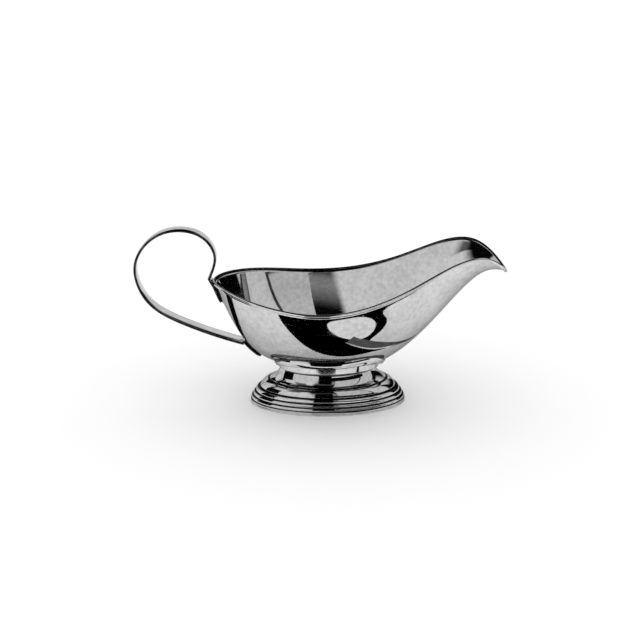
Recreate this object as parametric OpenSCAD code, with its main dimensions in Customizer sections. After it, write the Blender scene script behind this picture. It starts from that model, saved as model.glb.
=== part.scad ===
// Footed sauce boat in polished silver plate.
// A pressed bowl is drawn out into a raised pouring lip. A wire bead runs round its edge, an
// oval stepped foot carries it through a stepped collar, and a looped strip handle is soldered
// to the back. The origin is the centre of the foot's rest face; X runs from the handle to the
// lip, Y across the boat and Z up. Millimetres.

/* [Bowl] */
// Distance from the foot's centre back to the rear edge of the bowl
bowl_back = 63.2; // [62:0.1:64]
// Length of the bowl from its rear edge to the tip of the lip
bowl_length = 161; // [155:0.5:166]
// Half-width control values in equal angle steps from lip tip to rear edge
half_widths = [56, 44, 36.5, 33, 35.5, 41.5, 47, 49, 49, 43, 38];
// Rim height control values at the same steps
rim_heights = [75, 81, 90, 86, 73.5, 65, 63, 66, 69, 71, 70.5];
// Bowl depth control values at the same steps
depths = [59, 37.7, 39, 45.9, 46.5, 45.4, 46.8, 59.4, 89, 101, 101];
// Fullness of the cross-sections: 0 is a parabola, near 1 a half ellipse
fullness = 0.93; // [0.85:0.01:0.95]
// Thickness of the pressed sheet
sheet = 0.9; // [0.8:0.1:1.1]
// Radius of the wire along the rim
bead_radius = 0.9; // [0.8:0.05:1]

/* [Foot] */
// Half-length and half-width of the rest face
foot_half = [44.3, 26];
// Half-length and half-width of the neck
neck_half = [26.9, 17.8];
// Height of the neck above the table
neck_z = 21.1; // [20.5:0.1:21.5]
// Height of the flat ring the boat stands on
rest_height = 1.2; // [1:0.1:1.6]
// Depth of the grooves between the foot's rings
groove_depth = 0.6; // [0.4:0.1:0.8]
// Half-length and half-width of the line where the collar's upper edge meets the bowl
collar_half = [31.1, 28.2];
// How far the middle of that line lies towards the lip
collar_shift = 0.8; // [0:0.1:1.5]
// Squareness of that line: 2 is a plain ellipse
collar_power = 3; // [2:0.1:3.2]
// Wall thickness at the neck
foot_wall = 1.2; // [1:0.1:1.3]

/* [Handle] */
// Control points of the free part of the handle, as X and Z, from the lower joint to the upper
handle_path = [
    [-47.5, 36], [-64, 41], [-88, 51], [-99, 58.5], [-105.5, 69], [-108, 83.5],
    [-98, 97.5], [-84, 102.5], [-69, 99.5], [-62, 89.5], [-62.3, 82], [-66, 73.5]
];
// Half-width of the strip at the lower joint, at the far side of the loop and at the upper joint
strip_half = [5.8, 4.8, 5.4];
// Thickness of the strip
strip_thick = 1.8; // [1.5:0.1:1.9]
// X of the lower tab's free end, and of the place where the strip leaves the bowl
lower_tab = [-37, -46.8];
// X of the upper tab's free end, and of the place where the strip leaves the bowl
upper_tab = [-58.6, -62.2];
// Thickness of the solder under the tabs
solder = 0.25; // [0.2:0.05:0.3]

/* [Hidden] */
silver = [0.82, 0.82, 0.83];
solder_grey = [0.62, 0.62, 0.63];
half_length = bowl_length / 2;
bowl_middle = half_length - bowl_back;
// Number of points round the bowl and round the foot, and steps along the handle
around = 96;
around_foot = 72;
path_steps = 44;
// Rings of points between the keel and the rim; they bunch towards the steeper rim
bowl_rings = 18;
bunching = 70;
// Small clearance that keeps facets of touching pieces apart
skin_gap = 0.03;
// Height of the collar's upper edge off the bowl, and width of the solder thread beside it
collar_edge = 0.6;
seam_width = 0.5;
// How far the solder shows past a tab
solder_margin = 0.6;
// Width of the rest ring's face
rest_width = 3.6;
// Faces of the foot from the neck down: top, bottom, bulge and number of steps
foot_faces = [
    [[neck_half.x, neck_z], [33.3, 14.3], -1.2, 4],
    [[34.1, 13.7], [38.7, 9.7], 0.7, 4],
    [[40, 9.1], [41.3, 7.1], 0.25, 2],
    [[41.9, 6.5], [42.8, 4.8], 0.25, 2],
    [[43.3, 4.2], [44, 2.7], 0.2, 2],
    [[44.2, 2.1], [foot_half.x, rest_height], 0, 1]
];
// Inside of the foot from the rest ring up, as half-length and height
foot_inside = [
    [foot_half.x - 3.2, rest_height], [39.8, 5.6], [37.3, 8.2], [32.6, 12], [28.3, 15.2],
    [neck_half.x - foot_wall, neck_z]
];

// ---- curves ----

// One piece of a uniform cubic spline between control values b and c
function blend(a, b, c, d, t) =
    (a * pow(1 - t, 3)
     + b * (3 * pow(t, 3) - 6 * pow(t, 2) + 4)
     + c * (3 * t + 3 * pow(t, 2) - 3 * pow(t, 3) + 1)
     + d * pow(t, 3)) / 6;

// Value at an angle from 0 (lip tip) to 180 (rear edge), symmetric about both ends
function station(values, angle) =
    let (
        last = len(values) - 1,
        place = angle / 180 * last,
        i = min(floor(place), last - 1)
    )
    blend(values[abs(i - 1)], values[i], values[i + 1],
          values[i + 2 > last ? last - 1 : i + 2], place - i);

// Point on an open control path, at 0 on its first point and 1 on its last
function along_path(path, part) =
    let (
        last = len(path) - 1,
        place = part * last,
        i = min(floor(place), last - 1),
        before = i == 0 ? 2 * path[0] - path[1] : path[i - 1],
        after = i + 2 > last ? 2 * path[last] - path[last - 1] : path[i + 2]
    )
    blend(before, path[i], path[i + 1], after, place - i);

// Shallow arc from p to q in steps, bulging to the left of its direction
function bulge(p, q, height, steps) =
    let (side = [p.y - q.y, q.x - p.x] / norm(q - p))
    [for (k = [0 : steps]) let (t = k / steps) p + (q - p) * t + side * 4 * height * t * (1 - t)];

function unit(v) = v / norm(v);

// ---- bowl surface ----

// Outer face of the bowl; u is 1 at the lip tip and -1 at the rear, v is -1 to 1 across,
// and the rim is where u and v lie on the unit circle
function bowl_point(u, v) =
    let (
        angle = acos(u),
        depth = station(depths, angle),
        flat = 1 + sqrt(1 - pow(fullness, 2) * (1 - pow(u, 4))),
        swell = 1 + sqrt(1 - pow(fullness, 2) * (1 + u * u) * v * v)
    )
    [
        bowl_middle + half_length * u,
        v * station(half_widths, angle),
        station(rim_heights, angle) - depth * (1 - u * u) + depth * v * v * flat / swell
    ];

// Unit normal of the bowl's outer face, pointing out of the bowl
function bowl_normal(u, v) =
    let (
        step = 0.001,
        here = bowl_point(u, v),
        du = u > 0 ? -step : step,
        dv = v > 0 ? -step : step,
        n = cross(bowl_point(u + du, v) - here, bowl_point(u, v + dv) - here)
    )
    unit(n) * (n.z > 0 ? -1 : 1);

// Point above or below the plan position x, y, at a distance out from the bowl's outer face
function off_bowl(x, y, out) =
    let (
        u = (x - bowl_middle) / half_length,
        v = y / station(half_widths, acos(u))
    )
    bowl_point(u, v) + out * bowl_normal(u, v);

// Ring of points on the bowl, at a part of the way from keel to rim and a distance out
function bowl_ring(part, out) = [
    for (k = [0 : around - 1])
        let (
            a = 360 * k / around,
            u = part * cos(a),
            v = part * sin(a)
        )
        bowl_point(u, v) + out * bowl_normal(u, v)
];

// ---- solids from rings of points ----

// The two triangles between neighbouring points of rings k and next
function quad(k, next, i, sides, start) =
    let (
        j = (i + 1) % sides,
        a = start + k * sides + i,
        b = start + k * sides + j,
        c = start + next * sides + j,
        d = start + next * sides + i
    )
    [[a, c, b], [a, d, c]];

// Solid through a row of rings, closed to a single point at each end
module closed_skin(first, rings, last) {
    sides = len(rings[0]);
    count = len(rings);
    points = concat([first], [for (ring = rings) each ring], [last]);
    end = len(points) - 1;
    first_fan = [for (i = [0 : sides - 1]) [0, 1 + i, 1 + (i + 1) % sides]];
    last_fan = [for (i = [0 : sides - 1]) [end, end - sides + (i + 1) % sides, end - sides + i]];
    bands = [
        for (k = [0 : count - 2], i = [0 : sides - 1]) each quad(k, k + 1, i, sides, 1)
    ];
    polyhedron(points, concat(first_fan, bands, last_fan));
}

// Solid through a row of rings whose last ring joins the first
module endless_skin(rings) {
    sides = len(rings[0]);
    count = len(rings);
    faces = [
        for (k = [0 : count - 1], i = [0 : sides - 1])
            each quad(k, (k + 1) % count, i, sides, 0)
    ];
    polyhedron([for (ring = rings) each ring], faces);
}

// ---- bowl and rim ----

module bowl() {
    parts = [for (k = [1 : bowl_rings]) sin(bunching * k / bowl_rings) / sin(bunching)];
    outer = [for (part = parts) bowl_ring(part, 0)];
    inner = [for (k = [bowl_rings - 1 : -1 : 0]) bowl_ring(parts[k], -sheet)];
    color(silver)
        closed_skin(bowl_point(0, 0), concat(outer, inner), off_bowl(bowl_middle, 0, -sheet));
}

// Section of the rim wire as distances out from the bowl and up from the sheet's outer edge:
// it lies on the edge of the sheet, flush inside the bowl and standing proud outside
function wire_section() =
    let (
        steps = 10,
        inset = sheet - bead_radius,
        lift = sqrt(pow(bead_radius, 2) - pow(inset, 2)),
        start = atan2(-lift, inset)
    )
    concat(
        [[-sheet, 0]],
        [
            for (k = [0 : steps])
                let (t = start + (180 - start) * k / steps)
                [bead_radius * cos(t) - inset, bead_radius * sin(t) + lift]
        ]
    );

module rim_bead() {
    rings = [
        for (k = [0 : around - 1])
            let (
                a = 360 * k / around,
                edge = bowl_point(cos(a), sin(a)),
                out = bowl_normal(cos(a), sin(a)),
                up = unit(edge - bowl_point(0.995 * cos(a), 0.995 * sin(a)))
            )
            [for (p = wire_section()) edge + p.x * out + p.y * up]
    ];
    color(silver) endless_skin(rings);
}

// ---- foot ----

// Plan point of an oval at an angle; it is an ellipse at power 2 and squarer above it
function oval(half, a, power = 2) = [
    half.x * sign(cos(a)) * pow(abs(cos(a)), 2 / power),
    half.y * sign(sin(a)) * pow(abs(sin(a)), 2 / power)
];

// Half-sizes of the foot's oval where its half-length is x: the plan rounds out upwards
function foot_plan(x) = [
    x,
    neck_half.y + (x - neck_half.x) * (foot_half.y - neck_half.y) / (foot_half.x - neck_half.x)
];

// Rings of an oval moulding whose section is drawn at the lip end, as half-length and height
function moulding(section) = [
    for (k = [0 : around_foot - 1])
        let (a = 360 * k / around_foot)
        [for (p = section) let (q = oval(foot_plan(p.x), a)) [q.x, q.y, p.y]]
];

// Points of one face of the foot, and the groove under it down to the next face
function foot_step(k) =
    let (
        face = foot_faces[k],
        low = face[1],
        groove = low.x - groove_depth,
        last = k == len(foot_faces) - 1
    )
    concat(
        bulge(face[0], low, face[2], face[3]),
        last ? [] : [[groove, low.y], [groove, foot_faces[k + 1][0].y]]
    );

// Hollow pedestal: a flare, a rounded shoulder and three rings with grooves between them
module foot() {
    outside = [for (k = [0 : len(foot_faces) - 1]) each foot_step(k)];
    color(silver) endless_skin(moulding(concat(outside, foot_inside)));
}

// Flat ring under the foot that the boat stands on
module rest_ring() {
    outer = [for (k = [0 : around_foot - 1]) oval(foot_half, 360 * k / around_foot)];
    hole = foot_plan(foot_half.x - rest_width);
    inner = [for (k = [0 : around_foot - 1]) oval(hole, 360 * k / around_foot)];
    color(silver)
        linear_extrude(rest_height)
            difference() {
                polygon(outer);
                polygon(inner);
            }
}

// Thin thread of solder in the groove of the neck
module neck_seam() {
    section = [
        [neck_half.x, neck_z],
        [neck_half.x + 0.45, neck_z + 0.4],
        [neck_half.x + 0.32, neck_z - 0.5]
    ];
    color(solder_grey) endless_skin(moulding(section));
}

// ---- collar ----

// Point on the line of the collar's upper edge, moved outwards in plan and off the bowl
function collar_line(a, grow, out) =
    let (p = oval([collar_half.x + grow, collar_half.y + grow], a, collar_power))
    off_bowl(p.x + collar_shift, p.y, out);

// Point of the neck's oval at an angle, as seen from above
function neck_point(a, wall) =
    let (p = oval([neck_half.x - wall, neck_half.y - wall], a))
    [p.x, p.y, neck_z];

// Face of the collar at an angle, as parts of the way out and up from the neck to the bowl;
// its two steps are deepest at the sides
function collar_face(a) =
    let (side = pow(sin(a), 2))
    [
        [0, 0],
        [0.34 + 0.14 * side, 0.2],
        [0.32 + 0.1 * side, 0.54],
        [0.8 + 0.18 * side, 0.66],
        [1, 1]
    ];

// Stepped ring between the neck and the underside of the bowl, following the bowl behind
module collar() {
    rings = [
        for (k = [0 : around_foot - 1])
            let (
                a = 360 * k / around_foot,
                bottom = neck_point(a, 0),
                rise = collar_line(a, 0, collar_edge) - bottom
            )
            concat(
                [for (p = collar_face(a)) bottom + [rise.x * p.x, rise.y * p.x, rise.z * p.y]],
                [for (back = [0, 3.5, 6.5]) collar_line(a, -back, skin_gap)],
                [neck_point(a, foot_wall)]
            )
    ];
    color(silver) endless_skin(rings);
}

// Thread of solder along the collar's upper edge
module collar_seam() {
    rings = [
        for (k = [0 : around_foot - 1])
            let (a = 360 * k / around_foot)
            [
                collar_line(a, 0, skin_gap),
                collar_line(a, seam_width, skin_gap),
                collar_line(a, 0, collar_edge)
            ]
    ];
    color(solder_grey) endless_skin(rings);
}

// ---- handle ----

// Section of the strip with rounded edges, as distance across and distance through
function strip_section(half, thick) =
    let (
        h = thick / 2,
        flat = half - h
    )
    [
        [half, -h / 2], [half, h / 2], [flat, h], [0, h], [-flat, h],
        [-half, h / 2], [-half, -h / 2], [-flat, -h], [0, -h], [flat, -h]
    ];

// Half-width near a rounded end of the given half-width, at a distance from the end
function round_end(half, distance) =
    let (roundness = 1.6)
    half * sqrt(1 - pow(max(0, 1 - roundness * distance / half), 2));

// Ring of strip points lying on the bowl's back at x; facing is 1 where the strip's outer face
// looks away from the bowl and -1 where it looks towards it
function tab_ring(x, half, near, thick, facing) = [
    for (p = strip_section(half, thick)) off_bowl(x, p.x, near + thick / 2 + facing * p.y)
];

// Rings of a tab from its rounded free end at x = tab[0] along the bowl to x = tab[1]
function tab_rings(tab, half, margin, near, thick, facing) =
    let (
        start = tab[0] + margin,
        reach = start - tab[1],
        places = [0.04, 0.14, 0.3, 0.55, 1]
    )
    [
        for (place = places)
            tab_ring(start - place * reach, round_end(half + margin, place * reach),
                     near, thick, facing)
    ];

// Half-width of the strip at a part of the way along the free path
function strip_width(part) =
    part < 0.5
        ? strip_half[1] + (strip_half[0] - strip_half[1]) * pow(cos(180 * part), 2)
        : strip_half[1] + (strip_half[2] - strip_half[1]) * pow(cos(180 * part), 2);

// Ring of strip points round the free path
function path_ring(part) =
    let (
        here = along_path(handle_path, part),
        way = unit(along_path(handle_path, min(part + 0.002, 1))
                   - along_path(handle_path, max(part - 0.002, 0))),
        out = [-way.y, way.x]
    )
    [
        for (p = strip_section(strip_width(part), strip_thick))
            [here.x + out.x * p.y, p.x, here.y + out.y * p.y]
    ];

// Strip handle: a tab under the bowl, the stem, the loop, and a tab on the back below the rim
module handle() {
    lower = tab_rings(lower_tab, strip_half[0], 0, solder, strip_thick, 1);
    upper = tab_rings(upper_tab, strip_half[2], 0, solder, strip_thick, -1);
    free = [for (k = [0 : path_steps]) path_ring(k / path_steps)];
    middle = solder + strip_thick / 2;
    color(silver)
        closed_skin(
            off_bowl(lower_tab[0], 0, middle),
            concat(lower, free, [for (k = [len(upper) - 1 : -1 : 0]) upper[k]]),
            off_bowl(upper_tab[0], 0, middle)
        );
}

// Solder between a tab and the bowl, showing a little all round the tab
module tab_solder(tab, half) {
    thick = solder - skin_gap;
    middle = solder / 2;
    color(solder_grey)
        closed_skin(
            off_bowl(tab[0] + solder_margin, 0, middle),
            tab_rings(tab, half, solder_margin, skin_gap, thick, 1),
            off_bowl(tab[1], 0, middle)
        );
}

module lower_solder() {
    tab_solder(lower_tab, strip_half[0]);
}

module upper_solder() {
    tab_solder(upper_tab, strip_half[2]);
}

bowl();
rim_bead();
collar();
collar_seam();
foot();
neck_seam();
rest_ring();
handle();
lower_solder();
upper_solder();
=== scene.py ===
"""Looks of the footed sauce boat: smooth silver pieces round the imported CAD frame."""
import math

import bpy
import numpy as np
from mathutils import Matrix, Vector


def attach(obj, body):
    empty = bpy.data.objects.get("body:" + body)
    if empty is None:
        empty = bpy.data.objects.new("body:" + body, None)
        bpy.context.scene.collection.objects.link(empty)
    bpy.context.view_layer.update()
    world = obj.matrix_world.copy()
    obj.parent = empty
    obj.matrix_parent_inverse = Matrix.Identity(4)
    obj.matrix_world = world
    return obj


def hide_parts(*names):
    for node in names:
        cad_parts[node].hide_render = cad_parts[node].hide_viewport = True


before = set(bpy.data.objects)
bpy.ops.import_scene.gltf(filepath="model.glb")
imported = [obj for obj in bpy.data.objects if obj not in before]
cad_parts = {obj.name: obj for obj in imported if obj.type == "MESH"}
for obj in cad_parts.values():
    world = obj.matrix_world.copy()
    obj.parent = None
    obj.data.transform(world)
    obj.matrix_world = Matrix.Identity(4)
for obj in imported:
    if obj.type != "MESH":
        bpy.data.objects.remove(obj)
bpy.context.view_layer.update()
MM = 0.001

# ---- dimensions in millimetres, the same as the CAD part's except where noted ----
BOWL_BACK = 63.2
BOWL_LENGTH = 161.0
HALF_WIDTHS = [56, 44, 36.5, 33, 35.5, 41.5, 47, 49, 49, 43, 38]
RIM_HEIGHTS = [75, 81, 90, 86, 73.5, 65, 63, 66, 69, 71, 70.5]
DEPTHS = [59, 37.7, 39, 45.9, 46.5, 45.4, 46.8, 59.4, 89, 101, 101]
FULLNESS = 0.93
SHEET = 0.9
BEAD_RADIUS = 0.9
FOOT_HALF = (44.3, 26.0)
NECK_HALF = (26.9, 17.8)
NECK_Z = 21.1
REST_HEIGHT = 1.2
REST_WIDTH = 3.6
# faces of the foot from the neck down: top, bottom and how far each bulges
FOOT_FACES = [
    ([NECK_HALF[0], NECK_Z], [33.3, 14.3], -1.2),
    ([34.1, 13.7], [38.7, 9.7], 0.7),
    ([40.0, 9.1], [41.3, 7.1], 0.25),
    ([41.9, 6.5], [42.8, 4.8], 0.25),
    ([43.3, 4.2], [44.0, 2.7], 0.2),
    ([44.2, 2.1], [FOOT_HALF[0], REST_HEIGHT], 0.0),
]
# hidden inside of the foot; its last point is 0.3 further in than the CAD part's
FOOT_INSIDE = [
    [41.1, REST_HEIGHT], [39.8, 5.6], [37.3, 8.2], [32.6, 12.0], [28.3, 15.2], [25.4, NECK_Z],
]
GROOVE_DEPTH = 0.6
COLLAR_HALF = (31.1, 28.2)
COLLAR_SHIFT = 0.8
COLLAR_POWER = 3.0
COLLAR_EDGE = 0.6
# how far in from its upper edge the points of the collar's hidden face lie
COLLAR_BACK = (0, 3.5, 6.5)
SEAM_WIDTH = 0.5
FOOT_WALL = 1.2
HANDLE_PATH = np.array([
    [-47.5, 36], [-64, 41], [-88, 51], [-99, 58.5], [-105.5, 69], [-108, 83.5],
    [-98, 97.5], [-84, 102.5], [-69, 99.5], [-62, 89.5], [-62.3, 82], [-66, 73.5],
])
STRIP_HALF = (5.8, 4.8, 5.4)
STRIP_THICK = 1.8
LOWER_TAB = (-37.0, -46.8)
UPPER_TAB = (-58.6, -62.2)
TAB_ROUNDNESS = 1.6
SOLDER = 0.25
SOLDER_MARGIN = 0.6
SKIN_GAP = 0.03

HALF_LENGTH = BOWL_LENGTH / 2
BOWL_MIDDLE = HALF_LENGTH - BOWL_BACK

# ---- finish of the edges, in millimetres ----
RING_EDGE = 0.15
FLARE_EDGE = 0.04
GROOVE_CORNER = 0.12
REST_RING_EDGES = [0.3, 0.2, 0.45, 0.35]
# corners of the neck's solder, out and up from the neck's edge, and their rounding
NECK_SEAM = [(0, 0), (0.45, 0.4), (0.32, -0.5)]
NECK_SEAM_EDGES = [0, 0.1, 0.1]
# uneven edge of the collar's solder: height, waves in a turn and shift of each wave
SEAM_WAVES = [(0.05, 23, 0), (0.04, 41, 1)]
# how far past a groove its painted shade reaches
PAINTED_SHADE_REACH = 0.06
# degrees round the wire's section where its painted shade starts, inside and outside the bowl,
# and how many degrees further it is full
BEAD_PAINTED_SHADE = (115, -65)
BEAD_PAINTED_SHADE_FADE = 15
# parts of the collar's height that get painted shade: below the first, and between the others
COLLAR_PAINTED_SHADE = (0.17, 0.52, 0.67)
# how far in from the strip's edge its painted shade starts, and where it is full
STRIP_PAINTED_SHADE = (1.5, 0.6)
# crown of the strip's faces, as a share of its thickness
STRIP_CROWN = 0.12

# ---- fineness of the meshes ----
BOWL_AROUND = 288
BOWL_RINGS = 80
# the nearer to a right angle, the closer together the rings next to the rim
BOWL_BUNCHING = math.radians(72)
BEAD_STEPS = 28
FOOT_AROUND = 256
# the first two faces of the foot, the flare and the shoulder, are the tall ones
TALL_FACES = 2
TALL_FACE_STEPS = 14
RING_FACE_STEPS = 3
TAB_STEPS = 18
PATH_STEPS = 260


# ---- curves ----

def blend(a, b, c, d, t):
    """One piece of a uniform cubic spline between control values b and c."""
    return (
        a * (1 - t) ** 3
        + b * (3 * t**3 - 6 * t**2 + 4)
        + c * (3 * t + 3 * t**2 - 3 * t**3 + 1)
        + d * t**3
    ) / 6


def station(values, angle):
    """Spline value at an angle from 0 (lip tip) to pi (rear), symmetric about both ends."""
    values = np.asarray(values, float)
    last = len(values) - 1
    place = np.asarray(angle, float) / math.pi * last
    i = np.clip(np.floor(place).astype(int), 0, last - 1)
    after = np.where(i + 2 > last, last - 1, i + 2)
    return blend(values[abs(i - 1)], values[i], values[i + 1], values[after], place - i)


def along_path(part):
    """Point of the handle's centre line in the XZ plane, at 0 to 1 of its free length."""
    first = 2 * HANDLE_PATH[0] - HANDLE_PATH[1]
    final = 2 * HANDLE_PATH[-1] - HANDLE_PATH[-2]
    points = np.vstack([first, HANDLE_PATH, final])
    last = len(HANDLE_PATH) - 1
    place = part * last
    i = min(int(place), last - 1)
    return blend(points[i], points[i + 1], points[i + 2], points[i + 3], place - i)


def smooth_loop(controls, steps=6):
    """Closed smooth curve steered by a few control points."""
    controls = np.asarray(controls, float)
    count = len(controls)
    return [
        blend(*(controls[(i + k) % count] for k in range(4)), t / steps)
        for i in range(count) for t in range(steps)
    ]


def bulge(p, q, height, steps):
    """Shallow arc from p to q, bulging to the left of its direction."""
    p, q = np.asarray(p, float), np.asarray(q, float)
    side = np.array([p[1] - q[1], q[0] - p[0]]) / np.linalg.norm(q - p)
    t = np.linspace(0, 1, steps + 1)[:, None]
    return p + (q - p) * t + side * 4 * height * t * (1 - t)


def unit(v):
    """Vectors scaled to a length of 1."""
    v = np.asarray(v, float)
    return v / np.linalg.norm(v, axis=-1, keepdims=True)


def turns(count):
    """Evenly spaced angles once round."""
    return 2 * math.pi * np.arange(count) / count


def round_corners(outline, radii, steps=5):
    """A closed outline with each corner turned into an arc of its own radius."""
    outline = np.asarray(outline, float)
    result = []
    for i, (corner, radius) in enumerate(zip(outline, radii)):
        if radius <= 0:
            result.append(corner)
            continue
        back = unit(outline[i - 1] - corner)
        ahead = unit(outline[(i + 1) % len(outline)] - corner)
        half = math.acos(np.clip(back @ ahead, -1, 1)) / 2
        reach = radius / math.tan(half)
        centre = corner + unit(back + ahead) * radius / math.sin(half)
        a = corner + back * reach - centre
        b = corner + ahead * reach - centre
        sweep = math.pi - 2 * half
        for k in range(steps + 1):
            t = k / steps
            mix = (math.sin((1 - t) * sweep) * a + math.sin(t * sweep) * b) / math.sin(sweep)
            result.append(centre + mix)
    return np.array(result)


# ---- bowl surface ----

def bowl_point(u, v):
    """Outer face of the bowl: u runs 1 at the lip to -1 at the rear, v -1 to 1 across."""
    u, v = np.broadcast_arrays(np.asarray(u, float), np.asarray(v, float))
    angle = np.arccos(np.clip(u, -1, 1))
    depth = station(DEPTHS, angle)
    flat = 1 + np.sqrt(1 - FULLNESS**2 * (1 - u**4))
    swell = 1 + np.sqrt(np.maximum(1 - FULLNESS**2 * (1 + u * u) * v * v, 0))
    x = BOWL_MIDDLE + HALF_LENGTH * u
    y = v * station(HALF_WIDTHS, angle)
    z = station(RIM_HEIGHTS, angle) - depth * (1 - u * u) + depth * v * v * flat / swell
    return np.stack([x, y, z], axis=-1)


def bowl_normal(u, v):
    """Unit normal of the bowl's outer face, pointing out of the bowl."""
    u, v = np.broadcast_arrays(np.asarray(u, float), np.asarray(v, float))
    step = 1e-4
    here = bowl_point(u, v)
    du = np.where(u > 0, -step, step)
    dv = np.where(v > 0, -step, step)
    n = unit(np.cross(bowl_point(u + du, v) - here, bowl_point(u, v + dv) - here))
    return np.where(n[..., 2:3] > 0, -n, n)


def off_bowl(x, y, out):
    """Point over the plan position x, y, at a distance out from the bowl's outer face."""
    u = (np.asarray(x, float) - BOWL_MIDDLE) / HALF_LENGTH
    v = np.asarray(y, float) / station(HALF_WIDTHS, np.arccos(np.clip(u, -1, 1)))
    out = np.asarray(out, float)[..., None]
    return bowl_point(u, v) + out * bowl_normal(u, v)


# ---- meshes ----

def mesh_piece(name, node, slot, material, points, faces, painted_shade=None):
    """A smooth closed piece that stands for one CAD node; painted shade is 0 to 1 at each point.
    """
    mesh = bpy.data.meshes.new(name)
    mesh.from_pydata((np.asarray(points) * MM).tolist(), [], faces)
    if painted_shade is not None:
        # the painted shade mask rides on the mesh as a point attribute
        values = mesh.attributes.new("painted_shade", "FLOAT", "POINT")
        values.data.foreach_set("value", np.asarray(painted_shade, np.float32))
    mesh.validate()
    mesh.polygons.foreach_set("use_smooth", [True] * len(mesh.polygons))
    mesh.update()
    piece = bpy.data.objects.new(name, mesh)
    bpy.context.scene.collection.objects.link(piece)
    mesh.materials.append(material)
    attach(piece, "root")
    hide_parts(node)
    return piece


def bands(shape, start, wrap):
    """Quads between neighbouring rings, and from the last to the first when wrap is set."""
    count, sides = shape
    faces = []
    for k in range(count if wrap else count - 1):
        n = (k + 1) % count
        for i in range(sides):
            j = (i + 1) % sides
            faces.append((
                start + k * sides + i,
                start + k * sides + j,
                start + n * sides + j,
                start + n * sides + i,
            ))
    return faces


def endless_skin(rings):
    """Points and faces of a row of rings whose last joins the first."""
    rings = np.asarray(rings)
    return rings.reshape(-1, 3), bands(rings.shape[:2], 0, True)


def closed_skin(first, rings, last):
    """Points and faces of a row of rings closed to a point at each end."""
    rings = np.asarray(rings)
    count, sides = rings.shape[:2]
    points = np.vstack([[first], rings.reshape(-1, 3), [last]])
    end = len(points) - 1
    faces = bands((count, sides), 1, False)
    faces += [(0, 1 + (i + 1) % sides, 1 + i) for i in range(sides)]
    faces += [(end, end - sides + i, end - sides + (i + 1) % sides) for i in range(sides)]
    return points, faces


# ---- bowl and rim ----

def bowl_shape():
    """Pressed shell: rings bunch towards the steep rim, and the inner face is a true offset."""
    steps = BOWL_BUNCHING * np.arange(1, BOWL_RINGS + 1) / BOWL_RINGS
    parts = np.sin(steps) / math.sin(BOWL_BUNCHING)
    a = turns(BOWL_AROUND)
    u, v = parts[:, None] * np.cos(a), parts[:, None] * np.sin(a)
    outer, normal = bowl_point(u, v), bowl_normal(u, v)
    inner = (outer - SHEET * normal)[::-1]
    keel, down = bowl_point(0, 0), bowl_normal(0, 0)
    return closed_skin(keel, np.concatenate([outer, inner]), keel - SHEET * down)


def bead_shape():
    """Wire soldered on the sheet's edge: flush inside the bowl, standing proud outside it."""
    a = turns(BOWL_AROUND)
    edge, out = bowl_point(np.cos(a), np.sin(a)), bowl_normal(np.cos(a), np.sin(a))
    just_in = 0.999
    up = unit(edge - bowl_point(just_in * np.cos(a), just_in * np.sin(a)))
    inset = SHEET - BEAD_RADIUS
    lift = math.sqrt(BEAD_RADIUS**2 - inset**2)
    sweep = np.linspace(math.atan2(-lift, inset), math.pi, BEAD_STEPS + 1)
    section = [(-SHEET, 0)]
    section += [
        (BEAD_RADIUS * math.cos(t) - inset, BEAD_RADIUS * math.sin(t) + lift) for t in sweep
    ]
    rings = [edge + o * out + u * up for o, u in section]
    # painted shade where the wire meets the sheet, full inside and half as strong outside
    across = np.degrees(np.concatenate([[math.pi], sweep]))
    inside = np.clip((across - BEAD_PAINTED_SHADE[0]) / BEAD_PAINTED_SHADE_FADE, 0, 1)
    outside = np.clip((BEAD_PAINTED_SHADE[1] - across) / BEAD_PAINTED_SHADE_FADE, 0, 1)
    return *endless_skin(np.stack(rings, axis=1)), np.tile(inside + 0.5 * outside, BOWL_AROUND)


# ---- foot ----

def oval(half, a, power=2):
    """Plan points of an oval: an ellipse at power 2, squarer above it."""
    c, s = np.cos(a), np.sin(a)
    return np.stack([
        half[0] * np.sign(c) * np.abs(c) ** (2 / power),
        half[1] * np.sign(s) * np.abs(s) ** (2 / power),
    ], axis=-1)


def foot_plan(x):
    """Half-sizes of the foot's oval where its half-length is x."""
    slope = (FOOT_HALF[1] - NECK_HALF[1]) / (FOOT_HALF[0] - NECK_HALF[0])
    return x, NECK_HALF[1] + (x - NECK_HALF[0]) * slope


def moulding(section):
    """Rings of an oval moulding whose section is drawn at the lip end."""
    a = turns(FOOT_AROUND)
    x, y = foot_plan(np.asarray(section)[:, 0])
    z = np.asarray(section)[:, 1]
    return np.stack([
        np.cos(a)[:, None] * x,
        np.sin(a)[:, None] * y,
        np.broadcast_to(z, (len(a), len(z))),
    ], axis=-1)


def foot_outline():
    """Section of the foot: its faces with rounded edges, the grooves between, and the inside."""
    points, radii = [], []
    last = len(FOOT_FACES) - 1
    for k, (top, bottom, height) in enumerate(FOOT_FACES):
        steps = TALL_FACE_STEPS if k < TALL_FACES else RING_FACE_STEPS
        points += list(bulge(top, bottom, height, steps))
        top_radius = 0 if k == 0 else RING_EDGE
        low_radius = FLARE_EDGE if k == 0 else RING_EDGE
        radii += [top_radius] + [0] * (steps - 1) + [0 if k == last else low_radius]
        if k < last:
            groove = bottom[0] - GROOVE_DEPTH
            points += [[groove, bottom[1]], [groove, FOOT_FACES[k + 1][0][1]]]
            radii += [GROOVE_CORNER, GROOVE_CORNER]
    return round_corners(points + FOOT_INSIDE, radii + [0] * len(FOOT_INSIDE))


def foot_shape():
    """Hollow pedestal, with painted shade in the grooves between its faces."""
    outline = foot_outline()
    painted_shade = np.zeros(len(outline))
    # painted shade darkens each groove between two faces
    for upper, lower in zip(FOOT_FACES, FOOT_FACES[1:]):
        below = outline[:, 1] < upper[1][1] + PAINTED_SHADE_REACH
        above = outline[:, 1] > lower[0][1] - PAINTED_SHADE_REACH
        painted_shade[below & above] = 1
    return *endless_skin(moulding(outline)), np.tile(painted_shade, FOOT_AROUND)


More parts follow.
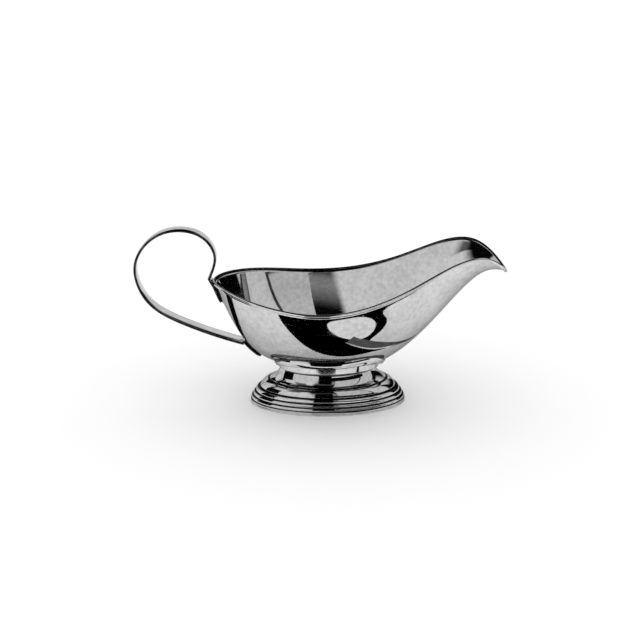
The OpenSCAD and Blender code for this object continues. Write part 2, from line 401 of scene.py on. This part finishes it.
def rest_ring_shape():
    """Flat ring the boat stands on."""
    outer, inner = FOOT_HALF[0], FOOT_HALF[0] - REST_WIDTH
    corners = [[inner, 0], [inner, REST_HEIGHT], [outer, REST_HEIGHT], [outer, 0]]
    return endless_skin(moulding(round_corners(corners, REST_RING_EDGES)))


def neck_seam_shape():
    """Thread of solder in the groove of the neck."""
    corners = [[NECK_HALF[0] + out, NECK_Z + up] for out, up in NECK_SEAM]
    return endless_skin(moulding(round_corners(corners, NECK_SEAM_EDGES)))


# ---- collar ----

def collar_line(a, grow, out):
    """Point on the line of the collar's upper edge, moved outwards in plan and off the bowl."""
    p = oval((COLLAR_HALF[0] + grow, COLLAR_HALF[1] + grow), a, COLLAR_POWER)
    return off_bowl(p[..., 0] + COLLAR_SHIFT, p[..., 1], np.full(np.shape(a), out))


def neck_line(a, wall):
    """Point of the neck's oval, a wall's thickness inside its outer face."""
    p = oval((NECK_HALF[0] - wall, NECK_HALF[1] - wall), a)
    return np.concatenate([p, np.full((*np.shape(a), 1), NECK_Z)], axis=-1)


def collar_face(a):
    """Face of the collar as parts of the way out and up from the neck to the bowl."""
    side = math.sin(a) ** 2
    section = [
        [0, 0],
        [0.34 + 0.14 * side, 0.2],
        [0.32 + 0.10 * side, 0.54],
        [0.8 + 0.18 * side, 0.66],
        [1, 1],
    ]
    return round_corners(section, [0, 0.05, 0.03, 0.05, 0])


def collar_shape():
    """Stepped ring between the neck and the bowl; the steps are deepest at the sides."""
    rings, painted_shade = [], []
    low_part, start, end = COLLAR_PAINTED_SHADE
    for a in turns(FOOT_AROUND):
        top, bottom = collar_line(a, 0, COLLAR_EDGE), neck_line(a, 0)
        face = collar_face(a)
        steps = [bottom + (top - bottom) * [out, out, up] for out, up in face]
        back = [collar_line(a, -grow, SKIN_GAP) for grow in COLLAR_BACK]
        rings.append(steps + back + [neck_line(a, FOOT_WALL)])
        # painted shade on the collar's lowest part and on the band between its steps
        painted_shade += [float(up < low_part or start < up < end) for _, up in face]
        painted_shade += [0] * (len(back) + 1)
    return *endless_skin(rings), painted_shade


def collar_seam_shape():
    """Thread of solder along the collar's upper edge, a little uneven."""
    a = turns(FOOT_AROUND)
    wave = sum(height * np.sin(count * a + shift) for height, count, shift in SEAM_WAVES)
    low = collar_line(a, 0, SKIN_GAP)
    far = np.array([
        collar_line(angle, SEAM_WIDTH + uneven, SKIN_GAP) for angle, uneven in zip(a, wave)
    ])
    edge = collar_line(a, 0, COLLAR_EDGE)
    hollow = 0.4 * (far + edge) + 0.2 * low
    return endless_skin(np.stack([low, far, hollow, edge], axis=1))


# ---- handle ----

def strip_section(half, thick, steps=6):
    """Closed outline of the strip: faces a little crowned, edges fully rounded."""
    h = thick / 2
    crown = STRIP_CROWN * thick
    points = []
    for side in (1, -1):
        for k in range(steps + 1):
            t = math.pi * (k / steps - 0.5)
            points.append([side * (half - h + h * math.cos(t)), side * (h - crown) * math.sin(t)])
        for k in range(1, steps):
            t = 1 - 2 * k / steps
            points.append([side * t * (half - h), side * (h - crown + crown * (1 - t * t))])
    return np.array(points)


def round_end(half, distance):
    """Half-width near a tab's rounded end, at a distance from the end."""
    return half * math.sqrt(1 - max(0.0, 1 - TAB_ROUNDNESS * distance / half) ** 2)


def tab_ring(x, half, near, thick, facing):
    """Ring of strip points lying on the bowl's back at x, its outer face out or in."""
    p = strip_section(half, thick)
    xs = np.full(len(p), x)
    return off_bowl(xs, p[:, 0], near + thick / 2 + facing * p[:, 1])


def tab_rings(tab, half, margin, near, thick, facing):
    """Rings of a tab from its rounded free end at x = tab[0] along the bowl to x = tab[1]."""
    start = tab[0] + margin
    reach = start - tab[1]
    places = (np.arange(1, TAB_STEPS + 1) / TAB_STEPS) ** 2
    return [
        tab_ring(start - place * reach, round_end(half + margin, place * reach),
                 near, thick, facing)
        for place in places
    ]


def strip_width(part):
    """Half-width of the strip at a part of the way along its free length."""
    end = STRIP_HALF[0] if part < 0.5 else STRIP_HALF[2]
    return STRIP_HALF[1] + (end - STRIP_HALF[1]) * math.cos(math.pi * part) ** 2


def path_ring(part):
    """Ring of strip points round the free path."""
    here = along_path(part)
    step = 0.002
    way = unit(along_path(min(part + step, 1)) - along_path(max(part - step, 0)))
    out = np.array([-way[1], way[0]])
    p = strip_section(strip_width(part), STRIP_THICK)
    return np.column_stack([here[0] + out[0] * p[:, 1], p[:, 0], here[1] + out[1] * p[:, 1]])


def handle_shape():
    """Strip handle: a tab under the bowl, the stem, the loop and a tab below the rim."""
    lower = tab_rings(LOWER_TAB, STRIP_HALF[0], 0, SOLDER, STRIP_THICK, 1)
    upper = tab_rings(UPPER_TAB, STRIP_HALF[2], 0, SOLDER, STRIP_THICK, -1)[::-1]
    free = [path_ring(k / PATH_STEPS) for k in range(PATH_STEPS + 1)]
    rings = np.array(lower + free + upper)
    middle = SOLDER + STRIP_THICK / 2
    start, end = off_bowl(LOWER_TAB[0], 0, middle), off_bowl(UPPER_TAB[0], 0, middle)
    # painted shade along both edges of the strip
    inwards = STRIP_HALF[0] - abs(strip_section(STRIP_HALF[0], STRIP_THICK)[:, 0])
    begins, full = STRIP_PAINTED_SHADE
    edge = np.clip((begins - inwards) / (begins - full), 0, 1)
    painted_shade = np.concatenate([[1], np.tile(edge, len(rings)), [1]])
    return *closed_skin(start, rings, end), painted_shade


def tab_solder_shape(tab, half):
    """Solder between a tab and the bowl, showing a little all round the tab."""
    return closed_skin(
        off_bowl(tab[0] + SOLDER_MARGIN, 0, SOLDER / 2),
        tab_rings(tab, half, SOLDER_MARGIN, SKIN_GAP, SOLDER - SKIN_GAP, 1),
        off_bowl(tab[1], 0, SOLDER / 2),
    )


# ---- shader nodes: each function adds nodes to a tree and returns their output ----

def noise(tree, scale, detail, stretch=(1, 1, 1), turn=(0, 0, 0)):
    """Noise fixed to the piece, read at coordinates that are first scaled and turned."""
    where = tree.nodes.new("ShaderNodeTexCoord")
    mapping = tree.nodes.new("ShaderNodeMapping")
    mapping.inputs["Scale"].default_value = stretch
    mapping.inputs["Rotation"].default_value = turn
    texture = tree.nodes.new("ShaderNodeTexNoise")
    texture.inputs["Scale"].default_value = scale
    texture.inputs["Detail"].default_value = detail
    tree.links.new(where.outputs["Object"], mapping.inputs["Vector"])
    tree.links.new(mapping.outputs["Vector"], texture.inputs["Vector"])
    return texture.outputs["Fac"]


def spread(tree, value, low, high, to_low, to_high, interpolation="LINEAR"):
    """A value from low to high mapped to the range to_low to to_high, and held outside it."""
    node = tree.nodes.new("ShaderNodeMapRange")
    node.interpolation_type = interpolation
    node.inputs["From Min"].default_value = low
    node.inputs["From Max"].default_value = high
    node.inputs["To Min"].default_value = to_low
    node.inputs["To Max"].default_value = to_high
    tree.links.new(value, node.inputs["Value"])
    return node.outputs["Result"]


def maths(tree, operation, *values):
    """One operation on numbers or node outputs."""
    node = tree.nodes.new("ShaderNodeMath")
    node.operation = operation
    for socket, value in zip(node.inputs, values):
        if isinstance(value, (int, float)):
            socket.default_value = value
        else:
            tree.links.new(value, socket)
    return node.outputs["Value"]


def ramp(tree, value, low, high, low_colour, high_colour):
    """Colour that runs from low_colour at low to high_colour at high."""
    node = tree.nodes.new("ShaderNodeValToRGB")
    first, second = node.color_ramp.elements
    first.position, first.color = low, (*low_colour, 1)
    second.position, second.color = high, (*high_colour, 1)
    tree.links.new(value, node.inputs["Fac"])
    return node.outputs["Color"]


def bump(tree, height, strength, distance):
    """Normal raised by a height, over a distance in metres."""
    node = tree.nodes.new("ShaderNodeBump")
    node.inputs["Strength"].default_value = strength
    node.inputs["Distance"].default_value = distance
    tree.links.new(height, node.inputs["Height"])
    return node.outputs["Normal"]


# ---- materials ----

# directions of the hairlines as turns in radians, and how far their noise is drawn out
HAIRLINE_TURNS = [(0.4, 0.2, 0.5), (1.3, -0.6, 2.1), (-0.8, 0.9, 1.2)]
HAIRLINE_STRETCH = (0.03, 1, 1)
# a hairline fades in between these two values of its noise
HAIRLINE_CREST = (0.66, 0.74)
# scales of the noises, in features a metre
HAIRLINE_SCALE = 900
MOTTLE_SCALE = 420
CLOUD_SCALE = 60
PIT_SCALE = 700
# colour of the clouds' dark and light parts, as shares of the tint
CLOUD_SHADES = (0.82, 1.06)
# roughness of the mottle's smooth and rough parts, as shares of the piece's own
MOTTLE_ROUGHNESS = (0.75, 1.35)
SCRATCH_ROUGHNESS = 0.12
# near-black colour of the painted shade in grooves, at junctions and along edges
PAINTED_SHADE_COLOUR = (0.012, 0.012, 0.012, 1)
SILVER_RELIEF = 0.00004
SOLDER_RELIEF = 0.0001


def new_metal(name):
    """A metal's material, its node tree and its shader, with nothing joined to it yet."""
    material = bpy.data.materials.new(name)
    material.use_nodes = True
    tree = material.node_tree
    shader = tree.nodes["Principled BSDF"]
    shader.inputs["Metallic"].default_value = 1.0
    return material, tree, shader


def join_metal(tree, shader, colour, roughness, normal):
    """Joins a metal's colour, roughness and normal to its shader."""
    tree.links.new(colour, shader.inputs["Base Color"])
    tree.links.new(roughness, shader.inputs["Roughness"])
    tree.links.new(normal, shader.inputs["Normal"])


def hairline_marks(tree):
    """Fine wiping marks: the crests of noise drawn out along each of the directions."""
    marks = None
    for turn in HAIRLINE_TURNS:
        waves = noise(tree, HAIRLINE_SCALE, 2, HAIRLINE_STRETCH, turn)
        line = spread(tree, waves, *HAIRLINE_CREST, 0, 1)
        marks = line if marks is None else maths(tree, "MAXIMUM", marks, line)
    return marks


def with_painted_shade(tree, clean, mottle):
    """The clean colour, darkened in patches by painted shade where the mesh's mask asks for it.
    """
    corners = tree.nodes.new("ShaderNodeAttribute")
    corners.attribute_name = "painted_shade"
    patches = spread(tree, mottle, 0.3, 0.6, 0.85, 1)
    darken = tree.nodes.new("ShaderNodeMixRGB")
    darken.inputs["Color2"].default_value = PAINTED_SHADE_COLOUR
    amount = maths(tree, "MULTIPLY", corners.outputs["Fac"], patches)
    tree.links.new(amount, darken.inputs["Fac"])
    tree.links.new(clean, darken.inputs["Color1"])
    return darken.outputs["Color"]


def silver(name, tint, roughness, grazing=0.4):
    """Mirror-polished plate: hairline wiping marks, soft mottling, and painted shade in its
    corners.
    """
    material, tree, shader = new_metal(name)
    shader.inputs["Specular Tint"].default_value = (grazing, grazing, grazing, 1)
    hairlines = hairline_marks(tree)
    mottle = noise(tree, MOTTLE_SCALE, 4)

    broad = spread(tree, noise(tree, CLOUD_SCALE, 4), 0, 1, 0, 0.4)
    clouds = maths(tree, "ADD", spread(tree, mottle, 0, 1, 0, 0.6), broad)
    dark, light = ([c * shade for c in tint] for shade in CLOUD_SHADES)
    colour = with_painted_shade(tree, ramp(tree, clouds, 0.38, 0.6, dark, light), mottle)

    smooth, rough = (roughness * share for share in MOTTLE_ROUGHNESS)
    polish = spread(tree, mottle, 0.3, 0.7, smooth, rough)
    scratches = spread(tree, hairlines, 0, 1, 0, SCRATCH_ROUGHNESS)

    raised = spread(tree, mottle, 0, 1, 0, 0.7)
    cut = spread(tree, hairlines, 0, 1, 0, 0.5)
    skin = bump(tree, maths(tree, "SUBTRACT", raised, cut), 0.06, SILVER_RELIEF)
    join_metal(tree, shader, colour, maths(tree, "ADD", polish, scratches), skin)
    return material


def solder_metal(name):
    """Dull grey solder with a pitted, slightly lumpy skin."""
    material, tree, shader = new_metal(name)
    pits = noise(tree, PIT_SCALE, 4)
    colour = ramp(tree, pits, 0, 1, (0.02, 0.02, 0.02), (0.13, 0.13, 0.13))
    roughness = spread(tree, pits, 0, 1, 0.25, 0.55)
    join_metal(tree, shader, colour, roughness, bump(tree, pits, 0.4, SOLDER_RELIEF))
    return material


SILVER = (0.66, 0.66, 0.665)
BRIGHT_SILVER = (0.7, 0.7, 0.705)
bowl_silver = silver("bowl_silver", SILVER, 0.035)
rim_silver = silver("rim_silver", BRIGHT_SILVER, 0.05)
foot_silver = silver("foot_silver", SILVER, 0.04)
handle_silver = silver("handle_silver", SILVER, 0.05, grazing=0.8)
solder = solder_metal("solder")

# ---- the pieces ----

mesh_piece("bowl_shell", "bowl", "bowl_silver", bowl_silver, *bowl_shape())
mesh_piece("rim_moulding", "rim_bead", "rim_silver", rim_silver, *bead_shape())
mesh_piece("collar_flare", "collar", "foot_silver", foot_silver, *collar_shape())
mesh_piece("collar_solder", "collar_seam", "solder", solder, *collar_seam_shape())
mesh_piece("foot_pedestal", "foot", "foot_silver", foot_silver, *foot_shape())
mesh_piece("neck_solder", "neck_seam", "solder", solder, *neck_seam_shape())
mesh_piece("foot_rest_ring", "rest_ring", "foot_silver", foot_silver, *rest_ring_shape())
mesh_piece("strip_handle", "handle", "handle_silver", handle_silver, *handle_shape())
mesh_piece("lower_tab_solder", "lower_solder", "solder", solder,
           *tab_solder_shape(LOWER_TAB, STRIP_HALF[0]))
mesh_piece("upper_tab_solder", "upper_solder", "solder", solder,
           *tab_solder_shape(UPPER_TAB, STRIP_HALF[2]))


# ---- studio ----

# how far the floor reaches each way from the middle, in metres
FLOOR_REACH = 12.0
# height of the lowest card over the floor, and the step up to the next, in millimetres
LOWEST_CARD = 0.4
CARD_STEP = 0.1
# strength of the white light on everything but reflections
WHITE_LIGHT = 1.15
# strength of the dark room between the panels
ROOM_LIGHT = 0.002
# height in degrees at which a leaning edge stands where its panel says
LEAN_FROM = 25


def plain_material(name, colour, strength=None):
    """Matt colour, or plain light of a strength."""
    material = bpy.data.materials.new(name)
    material.use_nodes = True
    nodes, links = material.node_tree.nodes, material.node_tree.links
    if strength is None:
        shader = nodes["Principled BSDF"]
        shader.inputs["Base Color"].default_value = (*colour, 1)
        shader.inputs["Roughness"].default_value = 0.9
        shader.inputs["Specular IOR Level"].default_value = 0.0
    else:
        nodes.remove(nodes["Principled BSDF"])
        glow = nodes.new("ShaderNodeEmission")
        glow.inputs["Color"].default_value = (*colour, 1)
        glow.inputs["Strength"].default_value = strength
        links.new(glow.outputs["Emission"], nodes["Material Output"].inputs["Surface"])
    return material


def stage_mesh(name, points, faces, material, seen=False):
    """A studio surface in metres; one that isn't seen shows only in reflections."""
    mesh = bpy.data.meshes.new(name)
    mesh.from_pydata([tuple(p) for p in points], [], faces)
    mesh.materials.append(material)
    card = bpy.data.objects.new(name, mesh)
    bpy.context.scene.collection.objects.link(card)
    card.visible_camera = seen
    card.visible_diffuse = seen
    card.visible_shadow = seen


def floor_card(name, layer, light, controls):
    """Flat card lying over the floor, steered by control points in plan, in millimetres."""
    outline = smooth_loop(controls)
    height = LOWEST_CARD + layer * CARD_STEP
    stage_mesh(name, [(x * MM, y * MM, height * MM) for x, y in outline],
               [tuple(range(len(outline)))], plain_material(name, (1, 1, 1), light))


def flag(name, start, end, height):
    """Upright black card standing on the floor between two plan points, in millimetres."""
    low = [(x * MM, y * MM, 0) for x, y in (start, end)]
    high = [(x, y, height * MM) for x, y, _ in reversed(low)]
    stage_mesh(name, low + high, [(0, 1, 2, 3)], plain_material(name, (0, 0, 0), 0.0))


floor_white = plain_material("floor_white", (0.9, 0.9, 0.9))
floor_corners = [
    (x * FLOOR_REACH, y * FLOOR_REACH, 0) for x, y in ((-1, -1), (1, -1), (1, 1), (-1, 1))
]
stage_mesh("floor", floor_corners, [(0, 1, 2, 3)], floor_white, seen=True)

floor_card("dark_pool", 0, 0.0, [
    (-82, -76), (-66, -65), (-40, -54), (-12, -36), (15, -28), (38, -25), (52, -12), (56, -14),
    (42, -36), (44, -43), (56, -45), (72, -52), (80, -64), (79, -78), (98, -86), (140, -76),
    (140, -90), (60, -104), (0, -104), (-60, -92),
])
floor_card("bright_lobe", 1, 0.95, [
    (4, -92), (4, -78), (12, -65), (26, -54), (42, -47), (56, -53), (66, -64), (66, -78),
    (55, -90), (28, -93),
])
floor_card("grey_wedge", 2, 0.1, [
    (34, -58), (32, -56), (44, -44), (60, -20), (72, 12), (78, 40), (74, 34), (66, 6),
    (54, -14), (38, -32), (22, -50), (24, -52),
])
floor_card("light_streak", 3, 0.9, [
    (20, -52), (24, -48), (42, -27), (58, -11), (68, 6), (62, -5), (50, -16), (34, -34),
    (22, -49),
])
flag("front_flag", start=(-41, -160), end=(17, -160), height=108)
flag("left_flag", start=(-150, -71), end=(-157, 24), height=100)

# soft panels of light round the studio, seen only in the metal, each as its strength, its left
# and right edges, and its low and high edges. Angles are in degrees: azimuth 0 is the camera's
# side and grows towards the lip. A left or right edge is (azimuth, softness, lean per degree of
# height), and a low or high edge is (height, softness).
PANELS = [
    (1.0, (-143, 1, 0), (-62, 6, 0), (-3, 2), (54, 20)),
    (0.85, (-62, 6, 0), (-36, 6, 0), (-3, 2), (38, 12)),
    (0.15, (-62, 6, 0), (-36, 6, 0), (-3, 2), (52, 10)),
    (1.0, (-36, 6, 0), (-17.5, 8, 0.35), (-3, 2), (47, 14)),
    (0.36, (-17.5, 8, 0.35), (11.5, 0.6, 0), (16, 8), (33, 22)),
    (0.78, (11.5, 0.6, 0), (54.8, 0.8, 0.13), (14.5, 2), (62, 16)),
    (0.05, (54.8, 0.8, 0.13), (58.0, 0.8, 0.13), (12, 2), (62, 16)),
    (0.88, (58.0, 0.8, 0.13), (66, 0.5, 0), (11, 2), (62, 16)),
    (0.88, (66, 0.5, 0), (99, 3, 0), (-3, 2), (62, 16)),
    (0.85, (118, 12, 0), (158, 6, 0), (26, 16), (58, 8)),
    (1.1, (154, 8, 0), (181, 1, 0), (-4, 2), (23, 6)),
    (1.1, (-181, 1, 0), (-145.5, 1, 0), (-4, 2), (23, 6)),
]


def soft_step(tree, value, at, softness, rising):
    """Smooth step round a place: up from 0 to 1 when rising, and down otherwise."""
    start, end = (0, 1) if rising else (1, 0)
    return spread(tree, value, at - softness / 2, at + softness / 2, start, end, "SMOOTHSTEP")


def side_edge(tree, turn, height, edge, rising):
    """Left or right edge of a panel, which leans with the height when its lean isn't 0."""
    at, softness, lean = edge
    if lean:
        turn = maths(tree, "MULTIPLY_ADD", height, lean, turn)
        at = at + lean * LEAN_FROM
    return soft_step(tree, turn, at, softness, rising)


def studio_world():
    """White light on everything matt, and the panels in a dark room for reflections."""
    world = bpy.data.worlds.new("studio")
    world.use_nodes = True
    tree = world.node_tree
    nodes, links = tree.nodes, tree.links
    where = nodes.new("ShaderNodeTexCoord")
    parts = nodes.new("ShaderNodeSeparateXYZ")
    links.new(where.outputs["Generated"], parts.inputs["Vector"])
    x, y, z = (parts.outputs[axis] for axis in "XYZ")
    height = maths(tree, "DEGREES", maths(tree, "ARCSINE", z))
    towards_camera = maths(tree, "MULTIPLY", y, -1.0)
    turn = maths(tree, "DEGREES", maths(tree, "ARCTAN2", x, towards_camera))

    total = ROOM_LIGHT
    for light, left, right, low, high in PANELS:
        across = maths(tree, "MULTIPLY", side_edge(tree, turn, height, left, True),
                       side_edge(tree, turn, height, right, False))
        upright = maths(tree, "MULTIPLY", soft_step(tree, height, *low, True),
                        soft_step(tree, height, *high, False))
        patch = maths(tree, "MULTIPLY", across, upright)
        total = maths(tree, "MULTIPLY_ADD", patch, light, total)

    reflected = nodes.new("ShaderNodeBackground")
    links.new(total, reflected.inputs["Strength"])
    white = nodes["Background"]
    white.inputs["Color"].default_value = (1, 1, 1, 1)
    white.inputs["Strength"].default_value = WHITE_LIGHT
    path = nodes.new("ShaderNodeLightPath")
    choose = nodes.new("ShaderNodeMixShader")
    links.new(path.outputs["Is Glossy Ray"], choose.inputs["Fac"])
    links.new(white.outputs["Background"], choose.inputs[1])
    links.new(reflected.outputs["Background"], choose.inputs[2])
    links.new(choose.outputs["Shader"], nodes["World Output"].inputs["Surface"])
    return world


bpy.context.scene.world = studio_world()

# ---- camera ----

DISTANCE = 0.650
ELEVATION = math.radians(18.5)
AZIMUTH = math.radians(-2)
TARGET = Vector((-0.0045, 0, 0.048))
# both in millimetres
SENSOR = 36.0
LENS = 64.861875
camera = bpy.data.cameras.new("camera")
camera.sensor_width = SENSOR
camera.lens = LENS
view = bpy.data.objects.new("camera", camera)
toward = Vector((
    math.sin(AZIMUTH) * math.cos(ELEVATION),
    -math.cos(AZIMUTH) * math.cos(ELEVATION),
    math.sin(ELEVATION),
))
view.location = TARGET + DISTANCE * toward
view.rotation_euler = (-toward).to_track_quat("-Z", "Y").to_euler()
bpy.context.scene.collection.objects.link(view)
bpy.context.scene.camera = view
bpy.context.scene.view_settings.view_transform = "Standard"
